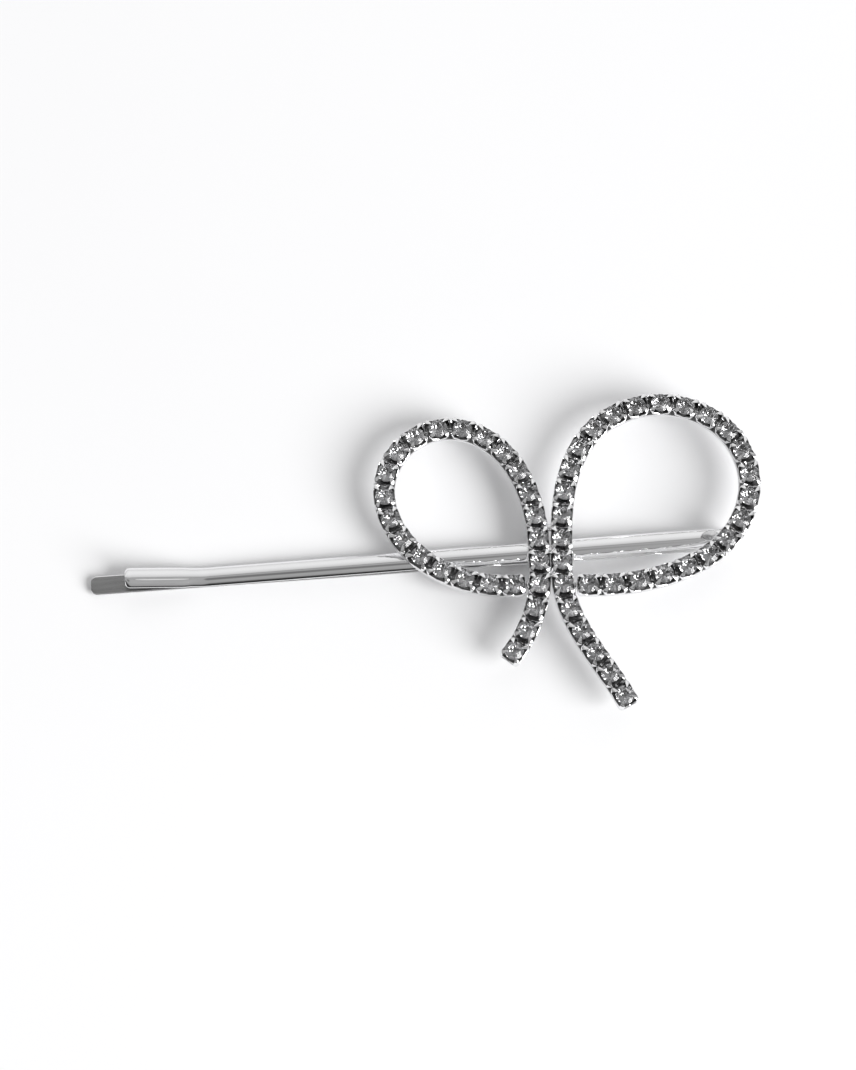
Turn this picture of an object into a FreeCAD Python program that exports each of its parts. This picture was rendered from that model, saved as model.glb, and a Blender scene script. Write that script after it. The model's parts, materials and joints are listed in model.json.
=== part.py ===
"""A rhinestone hair slide: a folded spring-steel hair pin that carries a flat bow of soldered cup chain.

Frame, in millimetres: +X runs along the pin from its open tips to its closed end, +Y towards the tops of the
bow's loops, +Z from the pin up to the stones. The origin is on the lower leg's underside, below the point
where the two legs grip.
"""
import FreeCAD, Part

import math
import os

import Sketcher
from FreeCAD import Placement, Rotation, Vector

SIZES = (
    ("strip_width", 2.0, "width of the pin's strip"),
    ("strip_thick", 0.7, "thickness of the pin's strip"),
    ("strip_edge", 0.5, "radius of the two outer edges of the half-round strip"),
    ("bend_inner", 0.6, "inner radius of the closed end"),
    ("pin_end", 54.2, "closed end, from the grip point"),
    ("lower_tip", 12.0, "open tip of the lower leg, from the grip point"),
    ("tip_corner", 0.6, "corner radius at the open tips"),
    ("grip_gap", 0.03, "clearance between the legs where they grip"),
    ("flare_run", 7.4, "straight length of the upper leg's flared tip"),
    ("flare_rise", 11.0, "angle of the flared tip above the lower leg, in degrees"),
    ("flare_bend", 6.0, "radius of the bend into the flare"),
    ("crimp_first", 28.7, "middle of the crimp nearest the tips"),
    ("crimp_step", 8.4, "spacing of the crimps"),
    ("crimp_run", 2.6, "length of one crimp"),
    ("crimp_rise", 0.3, "height of one crimp"),
    ("cup_width", 2.24, "side of a square cup"),
    ("cup_corner", 0.5, "corner radius of a cup"),
    ("cup_wall_top", 1.0, "height of a cup's wall"),
    ("cup_floor", 0.3, "thickness of a cup's floor"),
    ("prong_place", 0.78, "a prong's distance from each of the cup's middle planes"),
    ("prong_radius", 0.27, "radius of a prong"),
    ("prong_top", 1.5, "height of the prongs"),
    ("seat_radius", 0.93, "radius of the ledge under a stone"),
    ("seat_height", 1.02, "height of the ledge under a stone"),
    ("stone_radius", 0.98, "radius of a stone at its girdle"),
    ("stone_play", 0.02, "clearance round a stone"),
    ("table_radius", 0.56, "radius of a stone's flat top"),
    ("table_height", 1.48, "height of a stone's flat top"),
    ("girdle_height", 1.08, "height of a stone's widest band"),
    ("girdle_band", 0.05, "thickness of that band"),
    ("culet_radius", 0.08, "radius of a stone's lower end"),
    ("culet_height", 0.35, "height of a stone's lower end"),
    ("link_width", 0.6, "width of a link between two cups"),
    ("link_thick", 0.2, "thickness of a link"),
    ("link_lap", 0.22, "how far a link reaches into a cup"),
    ("slot_play", 0.1, "clearance beyond a link's end"),
    ("slot_width", 1.1, "width of the slot that a link can turn in"),
    ("knot_step", 2.47, "spacing of the cups in the knot's columns"),
    ("solder_film", 0.15, "solder between the upper leg and the cups"),
    ("solder_run", 1.6, "half length of the solder at a crossing, along the leg"),
    ("solder_half", 0.95, "half width of the solder at a crossing"),
    ("solder_rise", 0.5, "height of the solder above the leg"),
    ("bead_half", 0.42, "half width of a solder bead between cups"),
    ("bridge_half", 0.3, "half length of a solder bead that bridges the gap between two walls"),
    ("bead_rise", 0.25, "half height of a solder bead between cups"),
    ("bead_height", 0.62, "middle of such a bead, above the cups' undersides"),
    ("bow_x", 34.45, "middle of the knot's crossing row, along the pin"),
    ("bow_y", -4.15, "middle of the knot's crossing row, across the pin"),
    ("bow_turn", -4.25, "how far the bow is turned on the pin, in degrees"),
)

CRIMPS = 3

# Each chain's centre line in the bow's own plane: from the end of its tail through the crossing row, up its
# column of the knot and round its loop, back to the crossing row. The origin is the crossing row's middle.
TAILS = {
    "left": ((-4.0, -7.0), (-1.7, -2.45)),
    "right": ((6.9, -11.65), (4.2, -7.25), (1.8, -2.55)),
}
LOOPS = {
    "left": (
        (-1.2, 0.0), (-1.15, 2.5), (-1.2, 5.0), (-2.05, 9.9), (-4.35, 14.2), (-8.5, 16.9), (-13.6, 16.1),
        (-16.8, 11.1), (-14.9, 4.8), (-11.0, 1.6), (-6.3, 0.1), (-3.75, 0.0),
    ),
    "right": (
        (1.2, 0.0), (1.15, 2.5), (1.2, 5.0), (2.35, 12.5), (5.2, 17.1), (12.3, 19.7), (19.0, 16.5),
        (20.85, 11.5), (18.1, 4.7), (13.6, 1.75), (6.1, 0.05), (3.75, 0.0),
    ),
}
TAIL_CUPS = {"left": 3, "right": 5}
KNOT_CUPS = 4
LOOP_CUPS = {"left": 17, "right": 21}

doc = FreeCAD.newDocument("rhinestone_bow_hair_pin")
sheet = doc.addObject("Spreadsheet::Sheet", "sizes")
for row, (alias, value, meaning) in enumerate(SIZES, start=1):
    sheet.set(f"A{row}", meaning)
    sheet.set(f"B{row}", str(value))
    sheet.setAlias(f"B{row}", alias)
doc.recompute()


def size(alias):
    return float(sheet.get(alias))


WIDTH, THICK, EDGE = size("strip_width"), size("strip_thick"), size("strip_edge")
BEND_X = size("pin_end") - size("bend_inner") - THICK
BEND_Z = THICK + size("bend_inner")
# The upper leg comes down from the closed end to the grip point at this angle, in degrees.
LEG_FALL = math.degrees(math.atan((2 * size("bend_inner") - size("grip_gap")) / BEND_X))
exported = []


# ---- Sketch helpers ----

def new_body(label, kept=True):
    body = doc.addObject("PartDesign::Body", label)
    body.Label = label
    if kept:
        exported.append(body)
    return body


def origin_item(body, role):
    return next(item for item in body.Origin.OriginFeatures if item.Role == role)


def new_sketch(body, name, plane, along_normal=0.0):
    sketch = body.newObject("Sketcher::SketchObject", f"{body.Label}_{name}")
    sketch.AttachmentSupport = (origin_item(body, plane), [""])
    sketch.MapMode = "FlatFace"
    sketch.AttachmentOffset = Placement(Vector(0, 0, along_normal), Rotation())
    return sketch


def bind(sketch, name, constraint, cell):
    """Adds a dimension to the sketch and binds it to the sheet."""
    index = sketch.addConstraint(constraint)
    sketch.renameConstraint(index, name)
    sketch.setExpression(f".Constraints.{name}", cell)


def line(start, end):
    return Part.LineSegment(Vector(*start, 0), Vector(*end, 0))


def arc(centre, radius, first, last):
    """An arc that runs anticlockwise between two angles in degrees."""
    circle = Part.Circle(Vector(*centre, 0), Vector(0, 0, 1), radius)
    return Part.ArcOfCircle(circle, math.radians(first), math.radians(last))


def closed_outline(sketch, points):
    """A polygon of straight lines joined end to end."""
    count = len(points)
    sketch.addGeometry([line(points[i], points[(i + 1) % count]) for i in range(count)])
    sketch.addConstraint(
        [Sketcher.Constraint("Coincident", i, 2, (i + 1) % count, 1) for i in range(count)]
    )


class Trace:
    """A path of straight runs and tangent arcs, drawn from its start."""

    def __init__(self, start, heading):
        self.at = Vector(*start, 0)
        self.heading = heading
        self.pieces = []

    def run(self, length):
        angle = math.radians(self.heading)
        end = self.at + Vector(math.cos(angle), math.sin(angle), 0) * length
        self.pieces.append(Part.LineSegment(self.at, end))
        self.at = end

    def turn(self, radius, degrees):
        """Turns left for positive degrees and right for negative ones."""
        side = math.copysign(1, degrees)
        out = self.heading - 90 * side
        centre = self.at - Vector(math.cos(math.radians(out)), math.sin(math.radians(out)), 0) * radius
        first, last = sorted((out, out + degrees))
        self.pieces.append(arc((centre.x, centre.y), radius, first, last))
        end = math.radians(out + degrees)
        self.at = centre + Vector(math.cos(end), math.sin(end), 0) * radius
        self.heading += degrees


# ---- The pin: one strip in three stretches ----

def strip_section(sketch, low, outer, low_cell=None):
    """The half-round strip: one flat face, and an outer face with two large rounded edges.

    low is the flat face's height in the sketch, bound to low_cell, and outer is +1 or -1 for the side that
    the rounded face is on.
    """
    half = WIDTH / 2
    shoulder = low + outer * (THICK - EDGE)
    top = low + outer * THICK
    right_arc = (0, 90) if outer > 0 else (270, 360)
    left_arc = (90, 180) if outer > 0 else (180, 270)
    sketch.addGeometry([
        line((-half, low), (half, low)),
        line((half, low), (half, shoulder)),
        arc((half - EDGE, shoulder), EDGE, *right_arc),
        line((half - EDGE, top), (EDGE - half, top)),
        arc((EDGE - half, shoulder), EDGE, *left_arc),
        line((-half, shoulder), (-half, low)),
    ])
    first, second = (1, 2) if outer > 0 else (2, 1)
    make = Sketcher.Constraint
    sketch.addConstraint([
        make("Coincident", 0, 2, 1, 1),
        make("Tangent", 1, 2, 2, first),
        make("Tangent", 2, second, 3, 1),
        make("Tangent", 3, 2, 4, first),
        make("Tangent", 4, second, 5, 1),
        make("Coincident", 5, 2, 0, 1),
        make("Horizontal", 3),
        make("Vertical", 1),
        make("Vertical", 5),
        make("Equal", 2, 4),
        make("Symmetric", 0, 1, 0, 2, -2),
    ])
    bind(sketch, "strip_width", make("DistanceX", 0, 1, 0, 2, WIDTH), "sizes.strip_width")
    bind(sketch, "strip_edge", make("Radius", 2, EDGE), "sizes.strip_edge")
    thickness = make("DistanceY", 0, 1, 3, 1, THICK) if outer > 0 else make("DistanceY", 3, 1, 0, 1, THICK)
    bind(sketch, "strip_thick", thickness, "sizes.strip_thick")
    if low_cell:
        ends = (-1, 1, 0, 1) if low > 0 else (0, 1, -1, 1)
        bind(sketch, "flat_face", make("DistanceY", *ends, abs(low)), low_cell)
    else:
        sketch.addConstraint(make("PointOnObject", 0, 1, -1))


def swept_strip(body, section, trace):
    """Sweeps the strip's section along a path in the body's XZ plane."""
    spine = new_sketch(body, "spine", "XZ_Plane")
    spine.addGeometry(trace.pieces)
    doc.recompute()
    pipe = body.newObject("PartDesign::AdditivePipe", f"{body.Label}_strip")
    pipe.Profile = section
    pipe.Spine = (spine, [f"Edge{i + 1}" for i in range(len(trace.pieces))])
    doc.recompute()


def round_tip(body, tip):
    """Rounds the two corners of the strip's open end, in plan."""
    sketch = new_sketch(body, "tip_outline", "XY_Plane")
    corner, half, clear = size("tip_corner"), WIDTH / 2, WIDTH
    sketch.addGeometry([
        line((tip - clear, -clear), (tip + corner, -clear)),
        line((tip + corner, -clear), (tip + corner, -half)),
        arc((tip + corner, corner - half), corner, 180, 270),
        line((tip, corner - half), (tip, half - corner)),
        arc((tip + corner, half - corner), corner, 90, 180),
        line((tip + corner, half), (tip + corner, clear)),
        line((tip + corner, clear), (tip - clear, clear)),
        line((tip - clear, clear), (tip - clear, -clear)),
    ])
    doc.recompute()
    pocket = body.newObject("PartDesign::Pocket", f"{body.Label}_tip")
    pocket.Profile = sketch
    pocket.Type = "ThroughAll"
    pocket.Midplane = True
    doc.recompute()


def lower_leg():
    """The longer leg: flat face up, with crimps that rise towards the upper leg."""
    body = new_body("lower_leg")
    section = new_sketch(body, "section", "YZ_Plane", BEND_X)
    strip_section(section, THICK, -1, "sizes.strip_thick")
    half_run, rise = size("crimp_run") / 2, size("crimp_rise")
    slope = 2 * math.degrees(math.atan(rise / half_run))
    radius = half_run / (2 * math.sin(math.radians(slope)))
    middles = [size("crimp_first") + i * size("crimp_step") for i in range(CRIMPS)]
    trace = Trace((BEND_X, 0), 180)
    for middle in reversed(middles):
        trace.run(trace.at.x - middle - half_run)
        trace.turn(radius, -slope)
        trace.turn(radius, 2 * slope)
        trace.turn(radius, -slope)
    trace.run(trace.at.x + size("lower_tip"))
    swept_strip(body, section, trace)
    round_tip(body, -size("lower_tip"))


def leg_frame():
    """The upper leg's own frame: origin on its flat face at the grip point, X along the leg to the bend."""
    tilt = math.radians(LEG_FALL)
    inner = size("bend_inner")
    start = Vector(BEND_X - inner * math.sin(tilt), 0, BEND_Z + inner * math.cos(tilt))
    length = start.x / math.cos(tilt)
    turned = Rotation(Vector(0, 1, 0), -LEG_FALL)
    return Placement(start - turned.multVec(Vector(length, 0, 0)), turned), length


def upper_leg(frame, length):
    """The shorter leg: flat face down, and its tip flared up to let the hair in."""
    body = new_body("upper_leg")
    section = new_sketch(body, "section", "YZ_Plane", length)
    strip_section(section, 0, 1)
    trace = Trace((length, 0), 180)
    trace.run(length)
    trace.turn(size("flare_bend"), -(size("flare_rise") + LEG_FALL))
    trace.run(size("flare_run"))
    swept_strip(body, section, trace)
    round_tip(body, trace.at.x)
    body.Placement = frame
    return body


def spring_bend():
    """The closed end, where the strip turns back on itself. It flexes as the pin opens."""
    body = new_body("spring_bend")
    section = new_sketch(body, "section", "YZ_Plane")
    strip_section(section, -size("bend_inner"), -1, "sizes.bend_inner")
    doc.recompute()
    turn = body.newObject("PartDesign::Revolution", "spring_bend_turn")
    turn.Profile = section
    turn.ReferenceAxis = (origin_item(body, "Y_Axis"), [""])
    turn.Reversed = True
    turn.Angle = 180 + LEG_FALL
    body.Placement = Placement(Vector(BEND_X, 0, BEND_Z), Rotation())
    doc.recompute()


# ---- One cup, one stone and one link, each centred on its own Z axis ----

def turned_profile(body, name, points, feature):
    """Turns a half outline, given as radius and height, about the body's Z axis."""
    sketch = new_sketch(body, name, "XZ_Plane")
    closed_outline(sketch, points)
    doc.recompute()
    turned = body.newObject(feature, f"{body.Label}_{name}_turned")
    turned.Profile = sketch
    turned.ReferenceAxis = (sketch, ["V_Axis"])
    turned.Angle = 360
    doc.recompute()


def cup_master():
    """A stamped square cup: floor, thin wall, a ledge under the stone and four prongs over its edge."""
    body = new_body("cup", kept=False)
    outline = new_sketch(body, "outline", "XY_Plane")
    half, corner = size("cup_width") / 2, size("cup_corner")
    flat = half - corner
    for quarter in range(4):
        angle = 90 * quarter
        turn = Rotation(Vector(0, 0, 1), angle)
        side = [turn.multVec(Vector(half, y, 0)) for y in (-flat, flat)]
        centre = turn.multVec(Vector(flat, flat, 0))
        outline.addGeometry([
            Part.LineSegment(*side),
            arc((centre.x, centre.y), corner, angle, angle + 90),
        ])
    wall = body.newObject("PartDesign::Pad", "cup_wall")
    wall.Profile = outline
    wall.setExpression("Length", "sizes.cup_wall_top")
    doc.recompute()
    prong_outline = new_sketch(body, "prong_outline", "XY_Plane")
    place = size("prong_place")
    prong_outline.addGeometry(Part.Circle(Vector(place, place, 0), Vector(0, 0, 1), size("prong_radius")))
    bind(prong_outline, "prong_radius", Sketcher.Constraint("Radius", 0, size("prong_radius")),
         "sizes.prong_radius")
    for name, kind in (("prong_x", "DistanceX"), ("prong_y", "DistanceY")):
        bind(prong_outline, name, Sketcher.Constraint(kind, -1, 1, 0, 3, place), "sizes.prong_place")
    doc.recompute()
    prong = body.newObject("PartDesign::Pad", "cup_prong")
    prong.Profile = prong_outline
    prong.setExpression("Length", "sizes.prong_top")
    doc.recompute()
    prongs = body.newObject("PartDesign::PolarPattern", "cup_prongs")
    prongs.Originals = [prong]
    prongs.Axis = (origin_item(body, "Z_Axis"), [""])
    prongs.Occurrences = 4
    body.Tip = prongs
    doc.recompute()
    play = size("stone_play")
    hole, ledge = size("stone_radius") + play, size("seat_radius")
    above = size("prong_top") + play
    turned_profile(body, "cavity", (
        (0, size("cup_floor")),
        (0.6 * hole, size("cup_floor")),
        (ledge, 0.7 * size("seat_height")),
        (ledge, size("seat_height")),
        (hole, size("seat_height")),
        (hole, size("girdle_height") + size("girdle_band") + 2 * play),
        (size("table_radius") + play, above),
        (0, above),
    ), "PartDesign::Groove")
    slots = new_sketch(body, "slots", "XY_Plane")
    inner, slot_half = half - size("link_lap") - size("slot_play"), size("slot_width") / 2
    for side in (1, -1):
        slots.addGeometry([
            line((side * inner, -slot_half), (side * 2 * half, -slot_half)),
            line((side * 2 * half, -slot_half), (side * 2 * half, slot_half)),
            line((side * 2 * half, slot_half), (side * inner, slot_half)),
            line((side * inner, slot_half), (side * inner, -slot_half)),
        ])
    doc.recompute()
    slot = body.newObject("PartDesign::Pocket", "cup_slot")
    slot.Profile = slots
    slot.Reversed = True
    slot.setExpression("Length", "sizes.link_thick")
    doc.recompute()
    return body


def stone_master():
    """A round stone with a flat top, a thin girdle and a pointed back."""
    body = new_body("stone", kept=False)
    girdle = size("girdle_height")
    turned_profile(body, "outline", (
        (0, size("culet_height")),
        (size("culet_radius"), size("culet_height")),
        (size("stone_radius"), girdle),
        (size("stone_radius"), girdle + size("girdle_band")),
        (size("table_radius"), size("table_height")),
        (0, size("table_height")),
    ), "PartDesign::Revolution")
    return body


# ---- The chains ----

def centre_line(points):
    curve = Part.BSplineCurve()
    curve.interpolate([Vector(x, y, 0) for x, y in points])
    return curve


def stations(side):
    """Places and headings, in degrees, of a chain's cups, from the end of its tail to the end of its loop.

    The tail and the loop are each divided evenly, and the knot's first cup is in the crossing row.
    """
    tail, loop = TAILS[side], LOOPS[side]
    curve = centre_line(tail + loop)
    crossing = curve.parameter(Vector(*loop[0], 0))
    tail_length = curve.length(curve.FirstParameter, crossing)
    tail_step = tail_length / TAIL_CUPS[side]
    knot_top = tail_length + size("knot_step") * (KNOT_CUPS - 1)
    loop_step = (curve.length() - knot_top) / LOOP_CUPS[side]
    distances = [tail_step * i for i in range(TAIL_CUPS[side])]
    distances += [tail_length + size("knot_step") * i for i in range(KNOT_CUPS)]
    distances += [knot_top + loop_step * (i + 1) for i in range(LOOP_CUPS[side])]
    places = []
    for distance in distances:
        at = curve.parameterAtDistance(distance, curve.FirstParameter)
        along = curve.tangent(at)[0]
        places.append((curve.value(at), math.degrees(math.atan2(along.y, along.x))))
    print(f"{side} chain: cups {tail_step:.3f} mm apart in the tail and {loop_step:.3f} mm in the loop")
    return places


def add_group(label, shapes, placement):
    """One sub-part that holds several separate solids."""
    group = doc.addObject("Part::Feature", label)
    group.Label = label
    group.Shape = Part.makeCompound(shapes)
    group.Placement = placement
    exported.append(group)


def placed(shape, place, heading):
    copy = shape.copy()
    copy.Placement = Placement(place, Rotation(Vector(0, 0, 1), heading))
    return copy


def link_between(first, second):
    """A flat link that reaches from one cup's slot to the next cup's."""
    step = second[0] - first[0]
    length = step.Length - size("cup_width") + 2 * size("link_lap")
    bar = Part.makeBox(length, size("link_width"), size("link_thick"),
                       Vector(-length / 2, -size("link_width") / 2, 0))
    middle = (first[0] + second[0]) / 2
    return placed(bar, middle, math.degrees(math.atan2(step.y, step.x)))


def chain(side, cup, stone, placement):
    """One cup chain as three stretches: its tail, its column of the knot and its loop."""
    places = stations(side)
    tail_end = TAIL_CUPS[side]
    knot_end = tail_end + KNOT_CUPS
    stretches = (("tail", 0, tail_end), ("knot", tail_end, knot_end), ("loop", knot_end, len(places)))
    for name, first, last in stretches:
        here = places[first:last]
        add_group(f"{side}_{name}_cups", [placed(cup, *place) for place in here], placement)
        add_group(f"{side}_{name}_stones", [placed(stone, *place) for place in here], placement)
        to_next = places[first:last + 1]
        links = [link_between(*pair) for pair in zip(to_next, to_next[1:])]
        add_group(f"{side}_{name}_links", links, placement)
    return places


# ---- The solder ----

def solder(label, blobs, metal):
    """Solder that fills the corners between the metal pieces: flattened blobs less the metal itself.

    Each blob is a placement and the cells of its half lengths along its own X, Y and Z.
    """
    parts = []
    for number, (placement, halves) in enumerate(blobs, start=1):
        blob = doc.addObject("Part::Ellipsoid", f"{label}_blob_{number}")
        for name, half in zip(("Radius2", "Radius3", "Radius1"), halves):
            blob.setExpression(name, f"sizes.{half}")
        blob.Placement = placement
        parts.append(blob)
    fill = doc.addObject("Part::Compound", f"{label}_fill")
    fill.Links = parts
    doc.recompute()
    around = doc.addObject("Part::Feature", f"{label}_around")
    box = fill.Shape.BoundBox
    around.Shape = Part.makeCompound([piece for piece in metal if piece.BoundBox.intersect(box)])
    cut = doc.addObject("Part::Cut", label)
    cut.Label = label
    cut.Base, cut.Tool = fill, around
    exported.append(cut)


def middle_on_leg(places, bow_in_leg):
    """Where these cups cross the upper leg, as a distance along the leg."""
    reach = (WIDTH + size("cup_width")) / 2
    spots = [bow_in_leg.multVec(place) for place, _ in places]
    crossing = [spot.x for spot in spots if abs(spot.y) < reach]
    return sum(crossing) / len(crossing)


def solder_all(chains, leg_place, leg_length, bow_in_leg, metal):
    """The bow is soldered to the upper leg at three crossings, and to itself at the knot."""
    bow_place = leg_place.multiply(bow_in_leg)
    knots = {side: chains[side][TAIL_CUPS[side]:][:KNOT_CUPS] for side in chains}
    loops = {side: chains[side][TAIL_CUPS[side] + KNOT_CUPS:] for side in chains}
    crossings = {
        "left_crossing_solder": loops["left"],
        "knot_crossing_solder": knots["left"] + knots["right"],
        "right_crossing_solder": loops["right"],
    }
    for label, places in crossings.items():
        # The solder stays on the straight leg, so that the closed end can flex.
        along = min(middle_on_leg(places, bow_in_leg), leg_length - size("solder_run"))
        at = leg_place.multiply(Placement(Vector(along, 0, THICK), Rotation()))
        solder(label, [(at, ("solder_run", "solder_half", "solder_rise"))], metal)
    lift = Vector(0, 0, size("bead_height"))
    # A bead between two walls has its axis across them, so that the walls cut its poles off.
    across = Rotation(Vector(0, 1, 0), 90)
    bridge = ("bead_rise", "bead_half", "bridge_half")
    for side in chains:
        joint = (loops[side][-1][0] + knots[side][0][0]) / 2 + lift
        solder(f"{side}_loop_end_solder", [(bow_place.multiply(Placement(joint, across)), bridge)], metal)
    bead = ("bead_half", "bead_half", "bead_rise")
    seams = []
    for i in range(KNOT_CUPS - 1):
        corners = [knots[side][i + step][0] for side in chains for step in (0, 1)]
        middle = sum(corners, Vector()) / len(corners) + lift
        seams.append((bow_place.multiply(Placement(middle, Rotation())), bead))
    solder("knot_seam_solder", seams, metal)


# ---- Build, check and write ----

leg_place, leg_length = leg_frame()
lower_leg()
spring_bend()
top_leg = upper_leg(leg_place, leg_length)
cup, stone = cup_master(), stone_master()
bow_in_leg = Placement(
    Vector(size("bow_x"), size("bow_y"), THICK + size("solder_film")),
    Rotation(Vector(0, 0, 1), size("bow_turn")),
)
bow_place = leg_place.multiply(bow_in_leg)
chains = {side: chain(side, cup.Shape, stone.Shape, bow_place) for side in ("left", "right")}
soldered = [top_leg] + [item for item in exported if item.Label.endswith(("_cups", "_links"))]
metal = [solid for item in soldered for solid in item.Shape.Solids]
solder_all(chains, leg_place, leg_length, bow_in_leg, metal)
doc.recompute()

for item in doc.Objects:
    if "Invalid" in item.State or "Error" in item.State:
        raise RuntimeError(f"{item.Name} failed: {item.State}")
os.makedirs("parts", exist_ok=True)
for item in exported:
    if item.Shape.isNull() or not item.Shape.isValid():
        raise RuntimeError(f"{item.Label} has no valid shape")
    item.Shape.exportStep(f"parts/{item.Label}.step")
    smallest = min(solid.Volume for solid in item.Shape.Solids)
    print(f"{item.Label}: {len(item.Shape.Solids)} solids, {item.Shape.Volume:.2f} mm3, least {smallest:.4f}")
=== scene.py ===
"""A rhinestone bow on a folded hair pin: polished strip, stamped cups and cut stones on the CAD frame."""

import json
import math
import random

import bmesh
import bpy
import numpy as np
from mathutils import Matrix, Vector


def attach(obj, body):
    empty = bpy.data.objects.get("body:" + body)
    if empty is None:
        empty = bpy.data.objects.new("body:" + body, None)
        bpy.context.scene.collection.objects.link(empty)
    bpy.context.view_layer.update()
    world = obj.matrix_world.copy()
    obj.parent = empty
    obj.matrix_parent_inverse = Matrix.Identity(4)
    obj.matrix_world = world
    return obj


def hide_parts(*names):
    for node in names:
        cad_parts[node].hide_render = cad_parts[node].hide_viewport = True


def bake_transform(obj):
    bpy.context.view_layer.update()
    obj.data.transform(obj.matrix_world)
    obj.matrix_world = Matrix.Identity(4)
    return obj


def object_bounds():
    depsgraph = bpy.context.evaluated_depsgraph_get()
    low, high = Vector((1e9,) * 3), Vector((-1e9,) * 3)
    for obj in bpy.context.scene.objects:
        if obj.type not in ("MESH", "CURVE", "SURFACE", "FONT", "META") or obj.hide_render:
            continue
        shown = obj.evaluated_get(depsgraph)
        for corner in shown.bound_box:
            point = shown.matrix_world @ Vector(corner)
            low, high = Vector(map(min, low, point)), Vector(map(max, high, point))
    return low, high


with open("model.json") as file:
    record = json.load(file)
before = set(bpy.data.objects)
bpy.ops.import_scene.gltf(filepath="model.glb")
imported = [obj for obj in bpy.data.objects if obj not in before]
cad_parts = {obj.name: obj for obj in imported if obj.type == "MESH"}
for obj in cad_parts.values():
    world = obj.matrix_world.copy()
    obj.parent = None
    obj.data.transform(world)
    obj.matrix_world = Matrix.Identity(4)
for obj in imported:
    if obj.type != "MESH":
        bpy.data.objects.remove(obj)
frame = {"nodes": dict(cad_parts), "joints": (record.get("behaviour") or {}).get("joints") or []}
cad_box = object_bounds()

MM = 0.001
SIDES = ("left", "right")
STRETCHES = ("tail", "knot", "loop")
LOWER, UPPER = "lower_pin", "upper_pin"
chance = random.Random(7)

# ---- Sizes, in millimetres ----

STRIP_HALF = 1.0            # half width of the strip
STRIP_THICK = 0.7
CROWN_STEPS = 48            # how finely the arch over the strip is divided
CROWN_START = 0.2           # height of the strip's sides before its outer face arches over
STRIP_EDGE = 0.12           # rounding where the flat face meets the sides
TIP_CORNER = 0.6            # plan radius at the open tips
TIP_LOSS = 0.12             # how much thinner the strip is at its very end
LOWER_TIP = -12.0           # where the lower leg's open tip is along the pin
LEG_GAP = 0.03              # clearance where the legs grip
CRIMP_FIRST, CRIMP_STEP, CRIMPS = 28.7, 8.4, 3      # the first crimp's place, the pace and the number
CRIMP_HALF, CRIMP_RISE = 1.3, 0.29                  # half a crimp's length, and its height
FLARE_RUN, FLARE_RISE, FLARE_BEND = 7.4, 11.0, 6.0  # the flared tip's length, angle and bend radius
FLARE_WIDE = 1.06           # how much wider the flared tip is pressed
FLARE_FOLD = 6.9            # where that widening ends, from the open tip
GROOVE_FADE = 1.6           # length over which the flare's groove gets to its full depth
GROOVE_DEPTH, GROOVE_HALF, GROOVE_PLACE = 0.05, 0.07, -0.26     # the line pressed along the flared tip
FLARE_SECTIONS = (          # distances from the open tip, closer together where the flare folds
    0.8, 1.0, 1.3, 1.7, 2.2, 3.2, 4.2, 5.0, 5.4, 5.8, 6.1, 6.4, 6.6, 6.75, 6.9, 7.05, 7.2,
)
BEND_INNER = 0.6            # inner radius of the closed end
PAINTED_SHADE_END, PAINTED_LIGHT_START = 27.0, 34.0     # along the pin, where its inner face turns from dark and mirroring, as painted shade, to pale and dull, as painted light
PAINTED_LIGHT_AND_DULLNESS = 0.6              # how much paler, as painted light, and less metallic it is beyond

CUP_HALF, CUP_CORNER = 1.09, 0.42   # half width of a cup, and its plan radius at the corners
CUP_SHEET = 0.10            # thickness of the stamped sheet
CUP_FOOT = 0.07             # how far a cup's walls are cut away round its underside
CUP_FLOOR = 0.3             # height of the recess's floor
UNDERSIDE_INSET, FLOOR_INSET = 0.45, 0.48   # rings that divide the underside and the recess's floor
WALL_ROWS = 13              # how finely a wall is divided on its way up
SIDE_LOW, SIDE_HIGH = 0.6, 0.98     # height of a cup's wall at the middle of a side and by a prong
SIDE_CURVE, PRONG_CURVE = 0.8, 0.5  # how full the wall's edge is along a side and round a prong's tip
LIP_START, LIP_RISE = 0.985, 0.03   # the part of the way up where the rounded edge starts, and its height
PRONG_LENGTH = 1.93         # a prong's length, measured up the wall from the cup's underside
PRONG_SPREAD = 0.25         # half width of a prong where it leaves the wall
PRONG_KNEE = 1.02           # height at which the prongs bend inwards
PRONG_BEND = 0.26           # radius of that bend
PRONG_LEAN = 73.0           # how far the prongs bend from upright, in degrees
LEAN_VARIES = 9.0           # how much that differs from prong to prong
LENGTH_LESS, LENGTH_MORE = -0.07, 0.05      # how much a prong's length differs
CUP_APART = 0.03            # how near a cup's ends come to the cups before and after it

RIBBON_HALF = 1.12          # half width of the ribbon that joins the cups' feet
RIBBON_LOW, RIBBON_HIGH = 0.02, 0.46        # heights of its underside and top above the cups' undersides
RIBBON_EDGE, RIBBON_BULGE = 0.08, 0.3       # rounding of its edges, and how far their middles stay in
RIBBON_CORNER = 0.5         # plan radius of its two ends

GIRDLE_RADIUS, GIRDLE_LOW, GIRDLE_HIGH = 0.975, 1.07, 1.13
TABLE_RADIUS, TABLE_HEIGHT = 0.57, 1.42
CROWN_MID_RADIUS, CROWN_MID_HEIGHT = 0.80, 1.275
BACK_MID_RADIUS, BACK_MID_HEIGHT = 0.5, 0.66
POINT_HEIGHT = 0.36
CUTS = 8                    # a stone's facets repeat this many times round it
STONE_TILT = 2.2            # the most that a stone tilts in its cup, in degrees

CROSSING_LENGTH = 2.0       # a solder solid longer than this is one where a chain crosses the pin
CROSSING_DRAWN = 0.6        # how much of its length and width shows as solder
LUMPS, LUMP_REACH, LUMP_DEPTH = 9, (0.3, 0.6), (0.05, 0.16)     # dents in solder, as parts of its size

# the angles, in degrees, from which an edge is shown sharp
CUP_CREASE, STONE_CREASE, RIBBON_CREASE, SOLDER_CREASE, OTHER_CREASE = 50, 2, 30, 60, 40

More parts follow.
